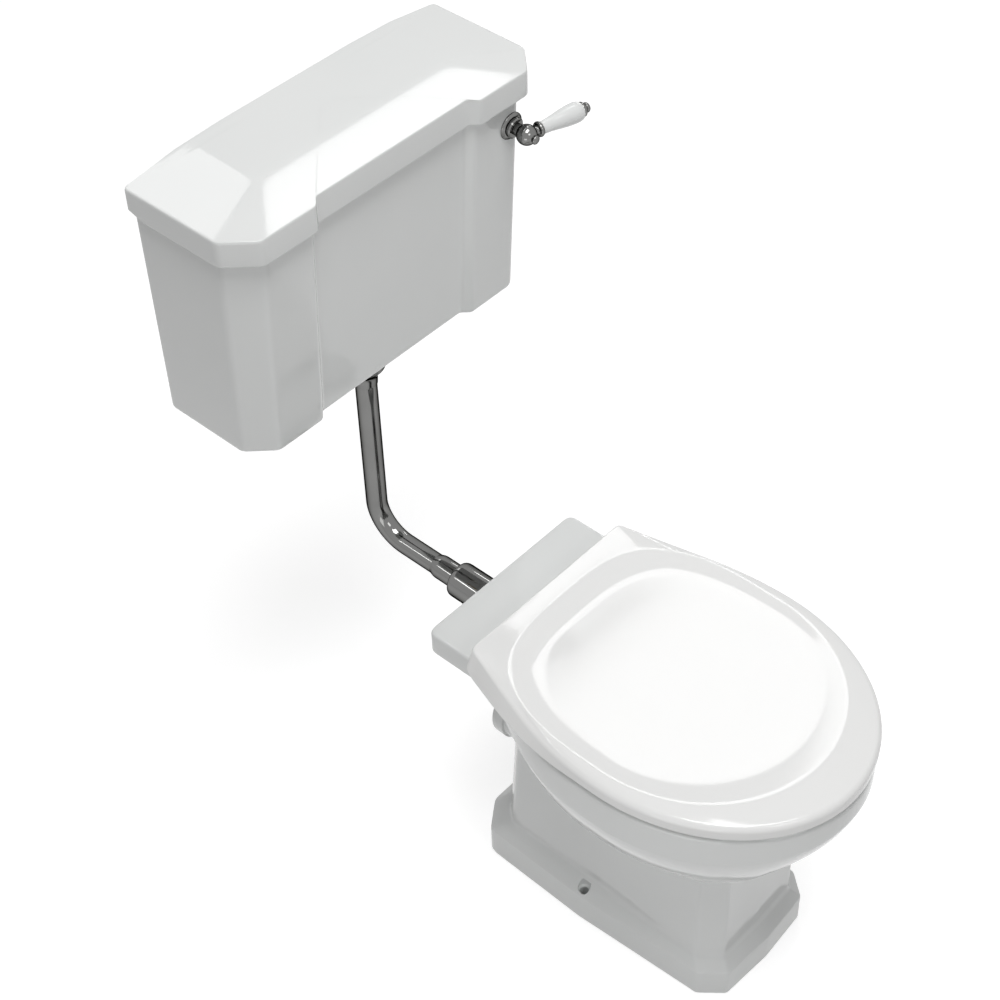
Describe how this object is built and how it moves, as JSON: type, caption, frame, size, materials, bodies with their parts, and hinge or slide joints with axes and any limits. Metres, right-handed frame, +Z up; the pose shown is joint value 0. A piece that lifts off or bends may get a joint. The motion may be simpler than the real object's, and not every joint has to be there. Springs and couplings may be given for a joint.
{
  "type": "low level toilet",
  "caption": "Low level toilet: pan with hinged seat and lid, wall-hung cistern with lift-off lid, bent flush pipe and side lever working a siphon.",
  "frame": {"origin": "on the floor, midway between the two floor screw holes of the pan", "axes": "+X to the right seen from the front, +Y back to the wall, +Z up"},
  "size_m": [0.5187, 0.8454, 1.0031],
  "materials": {
    "ceramic": "glossy white glaze",
    "seat": "glossy white moulding",
    "chrome": "polished",
    "rubber": "matt black",
    "brass": "machined",
    "steel": "machined",
    "plastic": "moulded off-white",
    "float_plastic": "moulded orange"
  },
  "bodies": {
    "toilet": {"pan": "ceramic", "cistern_body": "ceramic", "flush_pipe": "chrome", "flush_pipe_nut": "chrome", "pan_inlet_cup": "chrome", "flush_cone": "rubber", "hinge_posts": "chrome", "hinge_pin": "chrome", "hinge_washers": "rubber", "hinge_wing_nuts": "plastic", "lever_rose": "chrome", "lever_bush": "chrome", "lever_gasket": "rubber", "lever_back_nut": "brass", "siphon_body": "plastic", "siphon_gasket": "rubber", "siphon_back_nut": "plastic", "fill_valve_body": "plastic", "fill_valve_gasket": "rubber", "fill_valve_back_nut": "brass", "float_pivot_pin": "brass"},
    "seat_ring": {"seat_ring": "seat", "ring_buffers": "rubber"},
    "seat_lid": {"seat_lid": "seat", "lid_buffers": "rubber"},
    "cistern_lid": {"cistern_lid": "ceramic"},
    "flush_lever": {"lever_spindle": "brass", "lever_ball": "chrome", "lever_ferrule": "chrome", "lever_grip": "ceramic", "lever_finial": "chrome", "lever_arm": "brass", "lever_arm_screw": "steel"},
    "siphon_lift": {"lift_hook": "brass", "lift_rod": "steel", "siphon_piston": "plastic", "siphon_diaphragm": "rubber"},
    "float": {"float_arm": "brass", "float_ball": "float_plastic"},
    "valve_plunger": {"valve_plunger": "steel"}
  },
  "joints": [
    {"name": "seat_ring_hinge", "type": "hinge", "parent": "toilet", "child": "seat_ring", "pos_m": [0, 0.134, 0.4325], "axis": [-1, 0, 0], "range_deg": [0, 95]},
    {"name": "seat_lid_hinge", "type": "hinge", "parent": "seat_ring", "child": "seat_lid", "pos_m": [0, 0.134, 0.4325], "axis": [1, 0, 0], "range_deg": [-95, 0]},
    {"name": "cistern_lid_lift", "type": "slide", "parent": "toilet", "child": "cistern_lid", "axis": [0, 0, 1], "range_m": [0, 0.15]},
    {"name": "flush_lever_turn", "type": "hinge", "parent": "toilet", "child": "flush_lever", "pos_m": [0.188, 0.36332, 0.92], "axis": [0, 0.9982, 0.0596], "range_deg": [0, 24], "stiffness_Nm_per_rad": 0.6, "springref_deg": -28.65},
    {"name": "siphon_lift_slide", "type": "slide", "parent": "toilet", "child": "siphon_lift", "axis": [0, 0, 1], "range_m": [0, 0.0466]},
    {"name": "float_arm_swing", "type": "hinge", "parent": "toilet", "child": "float", "pos_m": [-0.158, 0.4424, 0.88], "axis": [0, 1, 0], "range_deg": [0, 35]},
    {"name": "valve_plunger_slide", "type": "slide", "parent": "toilet", "child": "valve_plunger", "axis": [1, 0, 0], "range_m": [0, 0.0062]}
  ],
  "couplings": [
    {"joint": "siphon_lift_slide", "follows": "flush_lever_turn", "m_per_rad": 0.1111},
    {"joint": "valve_plunger_slide", "follows": "float_arm_swing", "m_per_rad": 0.01}
  ]
}
